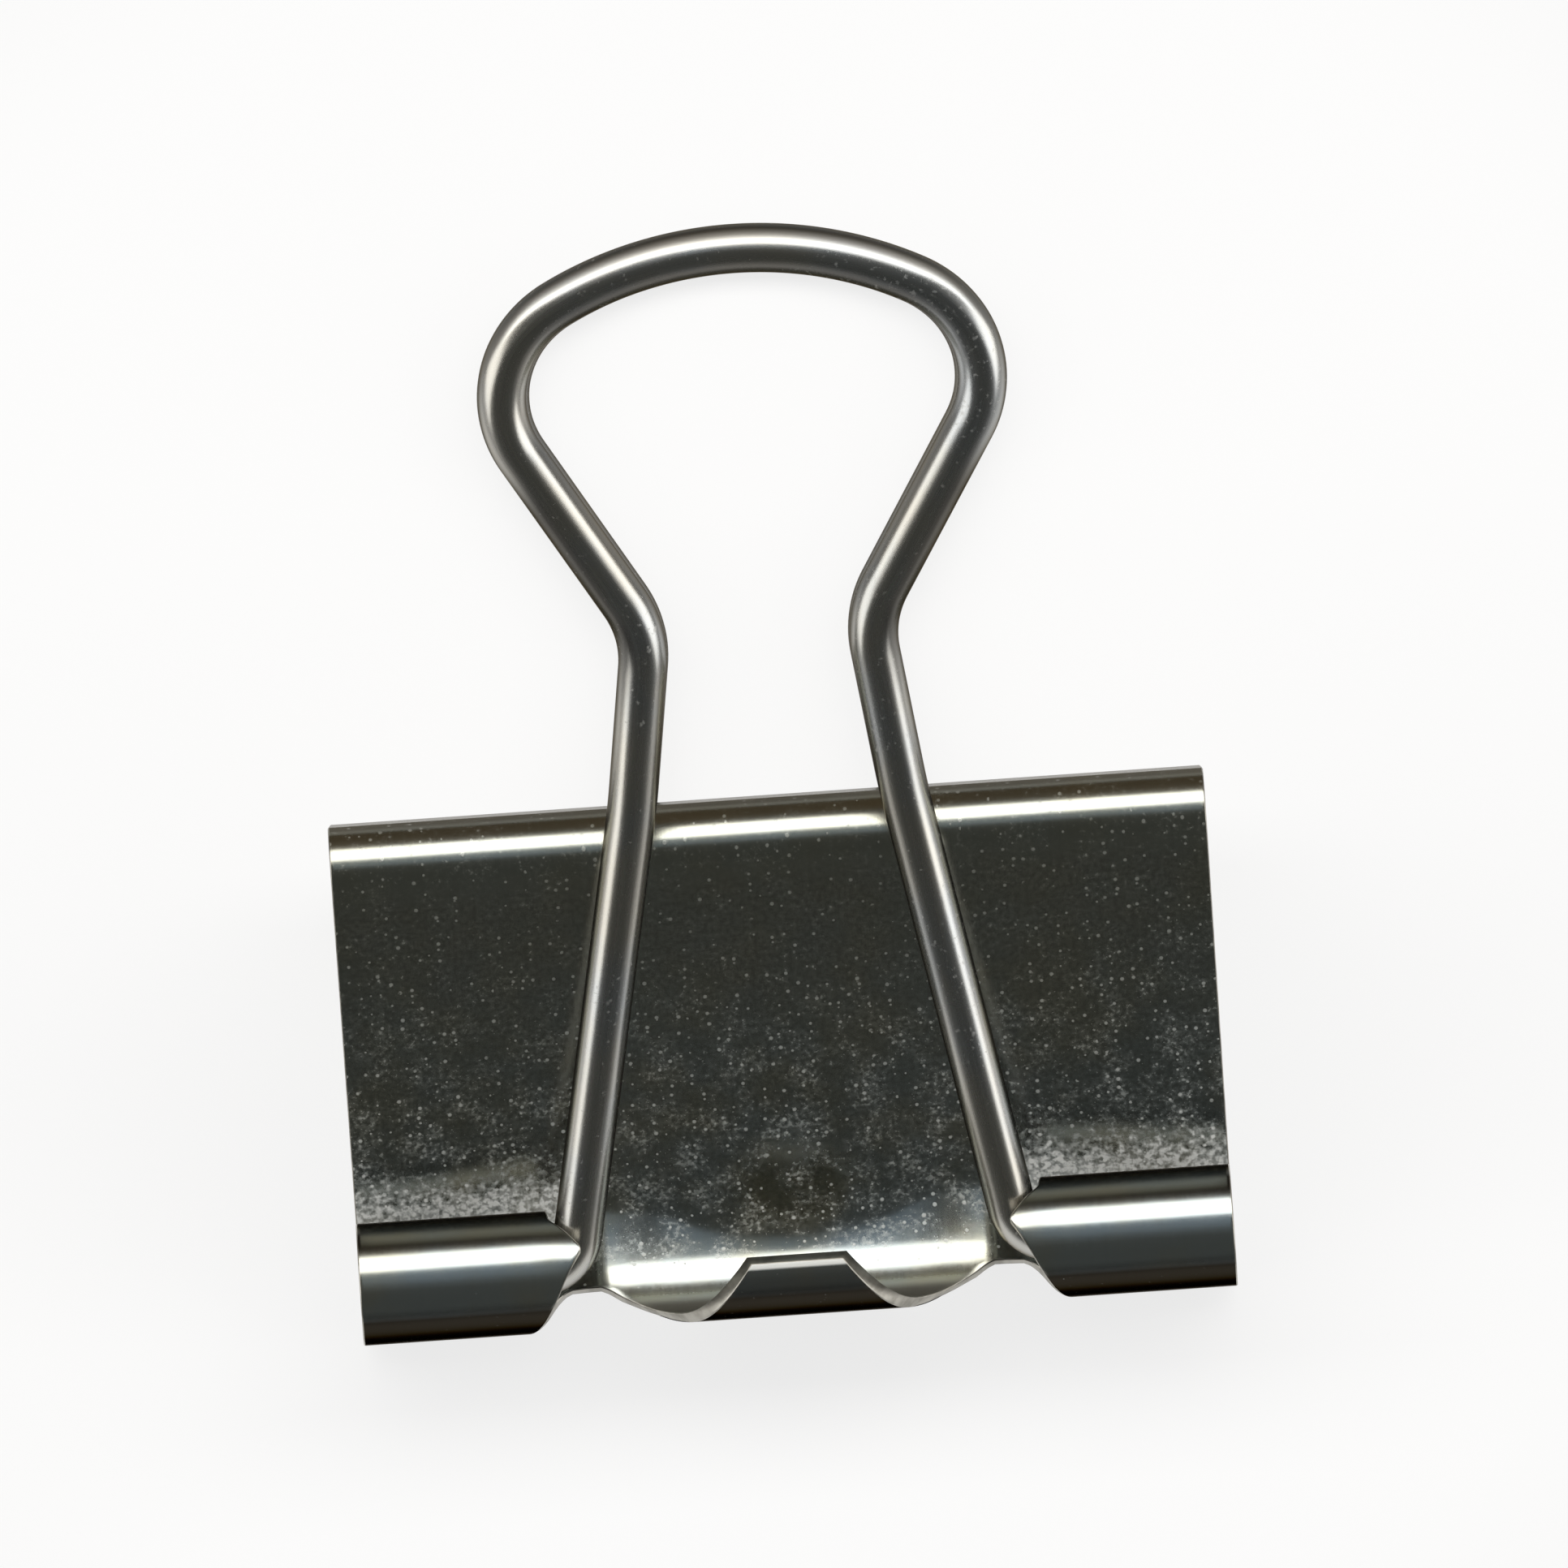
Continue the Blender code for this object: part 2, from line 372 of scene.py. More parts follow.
@dataclass(frozen=True)
class NickelSheet(DustyNickel):
    """Bright nickel on rolled sheet: grain along the strip, specks, wipe haze, painted shade round the roll
    and on the bend's top, and a painted highlight at the tab's end.

    Turns are degrees round the roll from the front over the top, halves are half widths in
    millimetres, and pairs of shares hold at the bend and at the jaw.
    """

    edge_tint: Colour = (0.22, 0.20, 0.17)
    dust_colour: Colour = (0.86, 0.87, 0.84)
    dust_metal_loss: float = 0.85
    warm_colour: Colour = (0.50, 0.495, 0.41)
    cool_colour: Colour = (0.45, 0.50, 0.50)
    # dull_colour darkens the roll and the bend's top as painted shade, and the plate in worn mottle.
    dull_colour: Colour = (0.030, 0.026, 0.020)
    roughness: float = 0.17
    grain_roughness: float = 0.08
    dull_roughness: float = 0.0
    grain_height: float = 0.0000010
    dent_height: float = 0.000012
    speck_height: float = 1.2
    dot_cells: float = 2.7
    dot_chance: float = 0.42
    speck_shares: Pair = (0.22, 0.60)
    haze_shares: Pair = (0.02, 0.24)
    nook_share: float = 0.98
    tab_veil: float = 0.06
    barrel_veil: float = 0.025
    worn_share: float = 0.28
    crease_share: float = 0.9
    rub: float = 1.0
    dull_turns: Pair = (208.0, 236.0)
    rub_turns: Floats = (320.0, 336.0, 384.0, 400.0)
    tab_turn: float = 366.0
    tab_halves: Pair = (6.8, 7.4)
    nook_halves: Pair = (7.6, 9.0)

    def material(self, name: str, line: "StripLine") -> bpy.types.Material:
        """Make the sheet's material.

        The pattern reads the strip's own layer in millimetres: X across, Y along the strip, Z
        along the strip as it would be over the barrels. Grain is noise drawn out along the
        strip. Specks are noise above a level that falls, so that they grow more, towards the
        rolled jaw, and dots. Flakes of dust lie in the nook above the barrels. Round the roll
        the nickel is darkened as painted shade, except on the front, which stays bright; the
        barrels' tops and part of the tab's front are shaded too, and a dark line on the bend's
        top is painted shade. The tab's end turns pale as a painted highlight, over a light
        dust veil on the roll's front.

        Args:
            name: the material's name.
            line: the strip's middle line, which says where its runs start.

        Returns:
            The material.
        """
        material, graph = Graph.for_material(name)
        ramp, product, total = graph.ramp, graph.product, graph.total
        layer = graph.layer(MeshLayer.STRIP)
        across, walked, over = graph.parts(layer)
        place = graph.stretched(layer, (1.0, 1.0, 0.0))
        aside, along = graph.math("ABSOLUTE", across), graph.math("ABSOLUTE", walked)
        starts = (line.bend_from, line.plate_from, line.lead_from, line.roll_from)
        fold, plate, lead, roll = (start / MILLI for start in starts)
        turns = (*self.dull_turns, *self.rub_turns, self.tab_turn)
        under, back, shade, front, brow, crest, tip = (line.along(turn) / MILLI for turn in turns)

        grain = graph.noise(graph.stretched(place, (11.0, 0.30, 1.0)), 1.0, 3.0)
        cloud = graph.noise(place, 0.24, 4.0)
        patch = graph.noise(place, 0.8, 4.0)
        crumb = graph.noise(place, 5.0, 2.0)
        flake = graph.noise(place, 3.0, 4.0)
        grit = graph.noise(graph.stretched(place, (7.0, 8.0, 1.0)), 1.0, 1.0)

        amount = product(
            ramp(along, plate - 0.5, lead + 0.5, 0.72, 1.0),
            ramp(over, roll - 0.3, under + 0.6, 1.0, -0.35),
            ramp(patch, 0.32, 0.66, 0.35, 1.0),
        )
        crumbs = ramp(total(crumb, product(amount, 0.15)), 0.69, 0.90)
        grits = ramp(total(grit, product(amount, 0.14)), 0.70, 0.86)
        fine = product(graph.highest(crumbs, product(grits, 0.55)), 0.75)
        specks = graph.highest(fine, graph.dots(place, self.dot_cells, product(amount, self.dot_chance)))
        faint = product(specks, ramp(along, plate, lead, *self.speck_shares))
        haze = product(
            ramp(patch, 0.36, 0.75),
            ramp(along, plate + 3.0, lead, *self.haze_shares),
            ramp(over, roll, under + 0.6, 1.0, 0.0),
            ramp(crumb, 0.38, 0.58, 0.10, 1.0),
        )
        grown = ramp(along, lead - 3.2, lead - 0.1, 0.0, 0.5)
        nook = product(
            ramp(total(flake, grown), 0.62, 1.02, 0.0, self.nook_share),
            ramp(crumb, 0.36, 0.62, 0.5, 1.0),
            ramp(aside, *self.nook_halves),
            ramp(over, roll, roll + 1.0, 1.0, 0.0),
        )
        # Painted highlight: the tab's end turns pale, standing in for light caught on its rounded edge; the
        # rest of the roll's front has a light dust veil.
        tab_veil_and_highlight = ramp(over, tip - 0.56, tip - 0.44, self.tab_veil, 1.0)
        veil_and_highlight = product(
            ramp(aside, *self.tab_halves, tab_veil_and_highlight, self.barrel_veil),
            ramp(over, shade, front, 0.0, self.rub),
        )
        dust_and_sheen = graph.add("ShaderNodeClamp", None, {0: total(faint, haze, nook, veil_and_highlight)}).outputs[0]

        # Painted shade: from the roll's lower back on, the nickel is mixed towards dull_colour. Its front is
        # left unshaded, but the barrels' tops stay shaded and the tab's front is half shaded. A dark line on
        # the bend's top is painted shade too.
        unshaded_front = product(
            ramp(over, shade, front),
            ramp(over, brow, crest, 1.0, 0.12),
            ramp(aside, *self.tab_halves, ramp(over, front, tip - 0.3, 0.5, 0.85), 1.0),
            self.rub,
        )
        bend_top_shade = product(
            ramp(along, fold - 0.2, fold),
            ramp(along, fold + 0.5, fold + 0.9, self.crease_share, 0.0),
        )
        painted_shade = total(graph.math("SUBTRACT", ramp(over, under, back), unshaded_front), bend_top_shade)
        cool = product(ramp(cloud, 0.30, 0.62), ramp(along, plate, lead, 0.35, 1.0))
        worn = product(
            ramp(crumb, 0.34, 0.60, 1.0, 0.0),
            ramp(along, plate, plate + 1.5),
            ramp(over, lead, roll, self.worn_share, 0.0),
        )
        metal = graph.mix(cool, self.warm_colour, self.cool_colour)
        for share in (worn, painted_shade):
            metal = graph.mix(share, metal, self.dull_colour)
        grained, dulled = product(grain, self.grain_roughness), product(painted_shade, self.dull_roughness)
        rough = total(grained, dulled, self.roughness)
        ridges = total(grain, product(specks, self.speck_height))
        normal = graph.bump(ridges, self.grain_height, graph.bump(cloud, self.dent_height))
        self.shade(graph, metal, dust_and_sheen, rough, normal)
        return material


@dataclass(frozen=True)
class CutEdge:
    """Sheared edge of the sheet: rougher than its faces, with fine shear marks."""

    colour: Colour = (0.42, 0.405, 0.365)
    dull_colour: Colour = (0.26, 0.25, 0.22)
    roughness: float = 0.26
    shear_roughness: float = 0.22
    shear_height: float = 0.000004

    def material(self, name: str) -> bpy.types.Material:
        """Make the edge's material, whose marks run through the thickness and are short along the strip.

        Args:
            name: the material's name.

        Returns:
            The material.
        """
        material, graph = Graph.for_material(name)
        place = graph.layer(MeshLayer.STRIP)
        marks = graph.noise(graph.stretched(place, (13.0, 13.0, 1.2)), 1.0, 2.0)
        worn = graph.ramp(graph.noise(place, 1.3, 3.0), 0.35, 0.70)
        graph.surface({
            "Base Color": graph.mix(worn, self.colour, self.dull_colour),
            "Metallic": 1.0,
            "Roughness": graph.total(graph.product(marks, self.shear_roughness), self.roughness),
            "Normal": graph.bump(marks, self.shear_height),
        })
        return material


@dataclass(frozen=True)
class NickelWire(DustyNickel):
    """Bright nickel on drawn wire: faint draw lines along it, small dents, a little dust and a painted sheen
    on the crown.

    Reaches are millimetres along the wire from the middle of the crown.
    """

    edge_tint: Colour = (0.28, 0.26, 0.23)
    dust_colour: Colour = (0.60, 0.59, 0.56)
    dust_metal_loss: float = 0.45
    colour: Colour = (0.53, 0.51, 0.46)
    cool_colour: Colour = (0.47, 0.485, 0.49)
    under_colour: Colour = (0.10, 0.095, 0.085)
    roughness: float = 0.22
    draw_roughness: float = 0.10
    draw_height: float = 0.0000012
    dent_height: float = 0.000006
    speck_share: float = 0.35
    crown_dust: float = 0.32
    under_share: float = 0.6
    side_share: float = 0.9
    crown_reach: Pair = (6.0, 11.0)
    slope_reaches: tuple[float, float, float, float] = (12.0, 16.0, 21.0, 26.0)

    def material(self, name: str) -> bpy.types.Material:
        """Make the wire's material.

        The pattern reads the wire's own layer: X out of the loop and Y up from its plane, round
        the section, and Z along the wire from the crown, in millimetres. So draw lines are noise
        that is short round the wire and long along it. Pale colour on the crown's outer side is a
        painted sheen that widens its highlight. The wire's underside, and the sides that face the
        jaws, of the crown and below the shoulders, are darkened as painted shade.

        Args:
            name: the material's name.

        Returns:
            The material.
        """
        material, graph = Graph.for_material(name)
        ramp, product = graph.ramp, graph.product
        place = graph.layer(MeshLayer.WIRE)
        out, up, walked = graph.parts(place)
        away = graph.math("ABSOLUTE", walked)
        lines = graph.noise(graph.stretched(place, (7.0, 7.0, 0.22)), 1.0, 3.0)
        dents = graph.noise(place, 0.55, 3.0)
        patch = graph.noise(graph.stretched(place, (0.5, 0.5, 0.16)), 1.0, 3.0)
        crumb = graph.total(graph.noise(place, 5.2, 2.0), ramp(patch, 0.35, 0.70, 0.0, 0.12))
        specks = product(ramp(crumb, 0.70, 0.84), self.speck_share)
        crown = ramp(away, *self.crown_reach, 1.0, 0.0)
        slope = product(ramp(away, *self.slope_reaches[:2]), ramp(away, *self.slope_reaches[2:], 1.0, 0.0))
        # Painted sheen: the crown's outer side turns pale, standing in for a wider highlight.
        painted_crown_sheen = product(
            crown, ramp(out, 0.2, 0.4), ramp(up, 0.10, 0.46), ramp(up, 0.56, 0.68, self.crown_dust, 0.0),
        )
        # Painted shade: the wire's underside, and the sides that face the jaws, are mixed towards a dark
        # colour.
        painted_wire_shade = graph.highest(
            ramp(up, 0.26, 0.58, self.under_share, 0.0),
            product(crown, ramp(out, -0.45, -0.10, self.side_share, 0.0)),
            product(slope, ramp(out, 0.10, 0.45, 0.0, self.side_share)),
        )
        metal = graph.mix(ramp(patch, 0.35, 0.68), self.colour, self.cool_colour)
        metal = graph.mix(painted_wire_shade, metal, self.under_colour)
        rough = graph.total(product(lines, self.draw_roughness), self.roughness)
        normal = graph.bump(lines, self.draw_height, graph.bump(dents, self.dent_height))
        self.shade(graph, metal, graph.highest(specks, painted_crown_sheen), rough, normal)
        return material


@dataclass
class StripLine:
    """Middle line of one half of the folded strip, from the spine's middle to the roll's end.

    It runs flat along the spine, round the bend, straight down the plate, through a lead-in
    curve of the other hand and on round the roll, which is almost a full turn about the pin
    axis and stops just short of the plate. Between the barrels the lead-in is a crease, a flat
    face follows it that is longest beside the legs, and the tab's hook is wider than the roll.
    """

    body_depth: float
    barrel_z: float
    sheet: float = 0.00038
    spine_width: float = 0.0146
    bend_radius: float = 0.0015
    roll_radius: float = 0.00223
    lead_radius: float = 0.0050
    lead_places: Pair = (0.0082, 0.0142)
    lead_turns: Pair = (25.0, 20.0)
    lean_places: Floats = (0.0, 0.0040, 0.0072, 0.0088, 0.0142)
    lean_extras: Floats = (0.8, 2.3, 2.6, 1.9, 0.0)
    roll_gap: float = 0.0002
    hook_turn: float = math.radians(35.0)
    hook_radii: Pair = (0.0034, 0.00188)
    hook_rise: float = -0.000122
    face_arc: float = 0.0003
    face_curl: float = math.radians(7.0)
    face_places: Floats = (0.0, 0.0022, 0.0035, 0.0047, 0.0060, 0.0072)
    face_lengths: Floats = (0.00025, 0.00040, 0.00080, 0.00135, 0.0017, 0.0018)
    face_tilts: Floats = (8.0, 7.0, 5.0, 4.5, 6.5, 9.0)
    face_shifts: Floats = (0.00011, 0.00011, 0.00011, 0.00016, 0.00042, 0.00060)
    middle: Pair = (0.0072, 0.00825)
    middle_soft: float = 0.0003
    face_soft: float = 0.0006
    lead_soft: float = 0.0016
    lean_soft: float = 0.0015
    bases: np.ndarray = field(init=False)

    def __post_init__(self) -> None:
        """Work out the runs over the barrels, by which lengths along the strip are counted."""
        half = self.sheet / 2
        self.roll_mid = self.roll_radius - half
        self.bend_mid = self.bend_radius - half
        self.bend_z = self.spine_width / 2 - self.bend_radius
        self.bend_y = self.body_depth - self.bend_radius
        self.reach = math.hypot(self.bend_z - self.barrel_z, self.bend_y)
        self.reach_lean = math.atan2(self.bend_z - self.barrel_z, self.bend_y)
        turn = math.radians(self.lead_turns[1])
        lead_reach = self.lead_radius - (self.lead_radius - self.roll_mid) * math.cos(turn)
        self.plate_lean = self.reach_lean + math.asin((self.bend_mid + lead_reach) / self.reach)
        self.roll_start = math.pi - self.plate_lean + turn
        stop_cosine = (self.roll_gap + half - lead_reach) / self.roll_radius
        self.roll_stop = math.tau + math.acos(stop_cosine) - self.plate_lean
        over_barrel = np.array((2 * self.middle[1],))
        self.bases = np.array([float(length[0]) for length, turn in self.runs(over_barrel)])
        starts = [float(start) for start in np.cumsum(self.bases)]
        self.bend_from, self.plate_from, self.lead_from, self.roll_from = starts[:4]
        self.end = starts[-1]

    def runs(self, x: np.ndarray) -> list[tuple[np.ndarray, np.ndarray]]:
        """Runs of the line at places across the width.

        The plate is tangent to the bend and its lean is given, so the sideways distance between
        the bend's middle and the roll's is the length between both times the sine of the lean
        over the line between them. The lead-in's radius makes up what face and hook leave of it.

        Args:
            x: distances across the width.

        Returns:
            Length and turn of spine, bend, plate, lead-in, face, hook and rest of the roll.
        """
        aside = np.abs(x)
        share = softened(aside, self.middle, (1.0, 0.0), self.middle_soft)
        flat, tilt, shift = (
            softened(aside, self.face_places, values, self.face_soft)
            for values in (self.face_lengths, np.radians(self.face_tilts), self.face_shifts)
        )
        first, second = (self.roll_mid + share * (radius - self.roll_mid) for radius in self.hook_radii)
        roll_turn = np.radians(softened(aside, self.lead_places, self.lead_turns, self.lead_soft))
        away_z = self.bend_z - self.barrel_z - share * shift
        away_y = self.bend_y - share * self.hook_rise
        reach = np.hypot(away_z, away_y)
        face_turn = (1.0 - share) * self.face_arc / self.roll_mid + share * self.face_curl
        extra = softened(aside, self.lean_places, self.lean_extras, self.lean_soft)
        lean = self.plate_lean + np.radians(extra)
        lead_turn = roll_turn + share * (lean + tilt - self.face_curl / 2 - roll_turn)
        turn = self.hook_turn + lean - lead_turn - face_turn
        rest = [((1.0 - share) * self.face_arc + share * flat, face_turn), (first * turn, turn)]
        none = np.zeros_like(share)
        down, out, heading = follow([(none, lead_turn)] + rest)
        span = reach * np.sin(lean - np.arctan2(away_z, away_y))
        lead_radius = (span - self.bend_mid - out - second * np.cos(heading)) / (1.0 - np.cos(lead_turn))
        down = down - second * np.sin(heading) + lead_radius * np.sin(lead_turn)
        plate = np.sqrt(reach ** 2 - span ** 2) - down
        fold = math.pi / 2 + lean
        tail = np.full_like(share, self.roll_stop - math.pi - self.hook_turn)
        start = [(none + self.bend_z, none), (self.bend_mid * fold, -fold), (plate, none)]
        return start + [(lead_radius * lead_turn, lead_turn)] + rest + [(second * tail, tail)]

    def along(self, turn: float) -> float:
        """Length along the strip of a place round the roll, in degrees (0 front, 90 top, counted on)."""
        return self.roll_from + self.roll_mid * (math.radians(turn) - self.roll_start)

    def at(self, x: np.ndarray, along: np.ndarray) -> tuple[np.ndarray, np.ndarray, np.ndarray, np.ndarray]:
        """Follow the line at places across the width, up to lengths counted as over the barrels.

        Args:
            x: distances across the width.
            along: lengths from the spine's middle.

        Returns:
            Z, Y and heading of the middle line at each place, and its true length there.
        """
        left = along.copy()
        walked = []
        for base, (length, turn) in zip(self.bases, self.runs(x)):
            part = np.clip(left / base, 0.0, 1.0)
            walked.append((length * part, turn * part))
            left = left - base
        z, y, heading = follow(walked)
        gone = sum(length for length, turn in walked)
        return z, y + self.body_depth - self.sheet / 2, heading, gone


def follow(runs: list[tuple[np.ndarray, np.ndarray]]) -> tuple[np.ndarray, np.ndarray, np.ndarray]:
    """Lay arcs end to end: each adds its chord, turned by half its own turn.

    Args:
        runs: length and turn of each arc, a turn of 0 for a straight one.

    Returns:
        Distance forward and to the left of the start, and the last heading.
    """
    forward = left = heading = np.zeros_like(runs[0][0])
    for length, turn in runs:
        chord = length * np.sinc(turn / math.tau)
        forward = forward + chord * np.cos(heading + turn / 2)
        left = left + chord * np.sin(heading + turn / 2)
        heading = heading + turn
    return forward, left, heading


def softened(along: np.ndarray, marks: Sequence[float], values: Sequence[float], reach: float) -> np.ndarray:
    """Straight lines between marks, averaged over a short window so that their corners are round.

    Args:
        along: lengths at which the line is read.
        marks: lengths of its corners.
        values: its values there.
        reach: half the window.

    Returns:
        The averaged values.
    """
    window = along[:, None] + np.linspace(-reach, reach, WINDOW_STEPS)[None, :]
    return np.interp(window, marks, values).mean(axis=1)


def run_lengths(line: np.ndarray) -> np.ndarray:
    """Length along a line of points up to each of them."""
    return np.concatenate(((0.0,), np.cumsum(np.linalg.norm(np.diff(line, axis=0), axis=1))))


def ways(angle: np.ndarray) -> np.ndarray:
    """Cosine and sine of angles, along a new last axis."""
    return np.stack((np.cos(angle), np.sin(angle)), axis=-1)


def bands(rings: int, around: int) -> np.ndarray:
    """Faces between rings of points that follow one another.

    Args:
        rings: number of rings.
        around: points on each ring.

    Returns:
        Point numbers of each four-sided face.
    """
    ring = np.arange(rings - 1)[:, None] * around
    here = np.arange(around)[None, :]
    after = np.roll(here, -1, axis=1)
    corners = (ring + here, ring + after, ring + around + after, ring + around + here)
    return np.stack(corners, axis=2).reshape(-1, 4)


def hollow(share: np.ndarray) -> np.ndarray:
    """Quarter-round fillet: 1 at share 0, falling on a circle's arc to 0 at share 1 and beyond."""
    left = 1.0 - np.clip(share, 0.0, 1.0)
    return 1.0 - np.sqrt(1.0 - left ** 2)


@dataclass
class Leaf:
    """Half of the folded strip: half spine, bend, plate, two barrels and the middle tab.

    The cut edges are half widths at places round the roll, in degrees from the front over the top.
    """

    clip: ClipFrame
    line: StripLine
    side: Side
    half_width: float = 0.0160
    notch_turn: float = 204.0
    notch_inner: float = 0.0069
    notch_round: Pair = (0.00035, 0.0008)
    tab_edge: tuple[Pair, ...] = ((204.0, 0.0069), (268.0, 0.00440), (366.0, 0.00180))
    tab_bevel: float = 0.00026
    tab_bevel_turns: Pair = (214.0, 246.0)
    tab_support: float = 0.00040
    barrel_edge: tuple[Pair, ...] = (
        (204.0, 0.0086),
        (270.0, 0.0099),
        (347.5, 0.00855),
        (385.0, 0.00780),
        (420.0, 0.00895),
        (479.0, 0.00915),
    )
    barrel_round: Pair = (0.00050, 0.00050)
    edge_radius: float = 0.00005
    edge_support: float = 0.00016
    flex_start: float = 0.00025
    flex_end: float = 0.0056
    flex_lean: float = math.radians(25.0)
    tab_soft: float = 0.00012
    barrel_soft: float = 0.00014
    row_counts: tuple[int, ...] = (24, 40, 26, 18, 18, 54, 46)
    column_counts: tuple[int, int, int] = (28, 5, 11)

    def rows(self) -> np.ndarray:
        """Lengths of the grid's rows, close in the bends and at the cut edges.

        Returns:
            Rising lengths from 0 to the roll's end.
        """
        line = self.line
        notch = line.along(self.notch_turn)
        tab_end = line.along(self.tab_edge[-1][0])
        deep = self.notch_round[1]
        fillet = np.radians((0.0, 30.0, 45.0, 60.0, 75.0))
        corner = np.radians((90.0, 67.5, 45.0, 0.0))
        top_corner = self.barrel_round[1]
        starts = (0.0, line.bend_from, line.plate_from, line.lead_from, line.roll_from)
        on_roll, on_tab, on_barrel = self.row_counts[4:]
        runs = [
            np.linspace(start, stop, count, endpoint=False)
            for start, stop, count in zip(starts, starts[1:], self.row_counts)
        ]
        runs += [
            np.linspace(line.roll_from, notch - self.edge_support, on_roll),
            notch + deep * (1.0 - np.cos(fillet)),
            np.linspace(notch + deep, tab_end - self.tab_support, on_tab),
            np.array((tab_end,)),
            np.linspace(tab_end + self.edge_support, line.end - top_corner, on_barrel, endpoint=False),
            line.end - top_corner * (1.0 - np.cos(corner)),
        ]
        return np.concatenate(runs)

    def edges(self, rows: np.ndarray) -> tuple[np.ndarray, np.ndarray]:
        """Half widths of the tab's edge and of the barrels' inner edge on every row.

        Each is a softened line through its corners, plus a quarter-round fillet at the top of
        the notch and a rounded corner at the barrel's end. Above the notch both stay constant.

        Args:
            rows: lengths of the rows.

        Returns:
            The tab's half width and the barrels' inner half width.
        """
        line = self.line
        notch = line.along(self.notch_turn)
        below = np.maximum(rows, notch)
        drop = hollow((below - notch) / self.notch_round[1]) * self.notch_round[0]
        tab, barrel = (
            softened(below, [line.along(turn) for turn, half in edge], [half for turn, half in edge], soft)
            for edge, soft in ((self.tab_edge, self.tab_soft), (self.barrel_edge, self.barrel_soft))
        )
        corner = self.barrel_round[0] * hollow((line.end - below) / self.barrel_round[1])
        return tab + drop, barrel - drop + corner

    def grid(self, rows: np.ndarray) -> tuple[np.ndarray, np.ndarray]:
        """Columns of the grid on every row: barrel, notch, tab, notch and barrel, left to right.

        Args:
            rows: lengths of the rows.

        Returns:
            X of each grid point, and the zone of each column of faces.
        """
        tab, barrel = (edge[:, None] for edge in self.edges(rows))
        support = self.edge_support
        width = self.half_width
        on_tab, on_notch, on_barrel = self.column_counts
        tab_share = np.linspace(-1.0, 1.0, on_tab)[None, :]
        middle = np.hstack((-tab, tab_share * (tab - self.tab_support), tab))
        notch_share = np.linspace(0.0, 1.0, on_notch)[None, 1:-1]
        notch = tab + (barrel - tab) * notch_share
        barrel_share = np.linspace(0.0, 1.0, on_barrel)[None, :]
        inner = barrel + support
        between = inner + (width - support - inner) * barrel_share
        outer = np.hstack((barrel, between, np.full_like(tab, width)))
        x = np.hstack((-outer[:, ::-1], -notch[:, ::-1], middle, notch, outer))
        beside = [(Zone.BARREL, outer.shape[1] - 1), (Zone.NOTCH, notch.shape[1] + 1)]
        counts = beside + [(Zone.TAB, middle.shape[1] - 1)] + beside[::-1]
        return x, np.concatenate([np.full(count, zone.value) for zone, count in counts])

    def quads(self, rows: np.ndarray, zones: np.ndarray) -> np.ndarray:
        """Faces of the flat strip: a zone's faces end at its own cut edge.

        Args:
            rows: lengths of the rows.
            zones: zone of each column of faces.

        Returns:
            Grid-point numbers of each face, outer skin upwards for the front half.
        """
        line = self.line
        ends = np.zeros(len(Zone))
        ends[Zone.TAB.value] = line.along(self.tab_edge[-1][0])
        ends[Zone.NOTCH.value] = line.along(self.notch_turn)
        ends[Zone.BARREL.value] = line.end
        slack = self.edge_radius / 10
        kept = rows[1:, None] <= ends[zones][None, :] + slack
        row, column = np.nonzero(kept)
        wide = len(zones) + 1
        first = row * wide + column
        return np.stack((first, first + wide, first + wide + 1, first + 1), axis=1)

    def slant(self, x: np.ndarray, along: np.ndarray) -> np.ndarray:
        """How far the tab's cut edge slants back on its front side, growing from the notch down.

        Args:
            x: distances across the width.
            along: lengths along the strip.

        Returns:
            The slant of each point, 0 away from the tab.
        """
        start, stop = (self.line.along(turn) for turn in self.tab_bevel_turns)
        share = np.clip((along - start) / (stop - start), 0.0, 1.0)
        return self.tab_bevel * share * (np.abs(x) <= self.notch_inner)

    def mesh(self) -> MeshParts:
        """Fold the flat grid along the strip's line into a closed sheet with rounded cut edges.

        A point so far along the line lies half the sheet above and below it, along the line's
        normal. A rim of rounded profile is carried along every cut edge: the profile's points
        stand out along the edge's own outward direction in the sheet and along its normal.

        Returns:
            The leaf's mesh parts in the model's frame.
        """
        rows = self.rows()
        x, zones = self.grid(rows)
        quads = self.quads(rows, zones)
        used, flat = np.unique(quads, return_inverse=True)
        quads = flat.reshape(-1, 4)
        count = len(used)
        x = x.ravel()[used]
        along = np.repeat(rows, len(zones) + 1)[used]
        on_seam = used <= len(zones)

        starts = quads.ravel()
        stops = np.roll(quads, -1, axis=1).ravel()
        border = ~np.isin(starts * count + stops, stops * count + starts)
        starts, stops = starts[border], stops[border]
        seam = on_seam[starts] & on_seam[stops]
        seam_pairs = np.stack((starts[seam], stops[seam]), axis=1)
        starts, stops = starts[~seam], stops[~seam]

        step = np.stack((x[stops] - x[starts], along[stops] - along[starts]), axis=1)
        step /= np.linalg.norm(step, axis=1, keepdims=True)
        out = np.stack((-step[:, 1], step[:, 0]), axis=1)
        total = np.zeros((count, 2))
        touches = np.zeros(count)
        for ends in (starts, stops):
            np.add.at(total, ends, out)
            np.add.at(touches, ends, 1.0)
        rim = np.flatnonzero(touches)
        total[rim] *= (touches[rim] / (total[rim] ** 2).sum(axis=1))[:, None]

        half = self.line.sheet / 2
        radius = self.edge_radius
        bow = np.radians((0.0, 45.0, 90.0))
        inset = radius * np.sin(bow) - radius
        aside = np.concatenate((inset, inset[::-1]))
        lift = half - radius + radius * np.cos(bow)
        lift = np.concatenate((lift, -lift[::-1]))
        rings = len(aside)
        slant = self.slant(x, along)

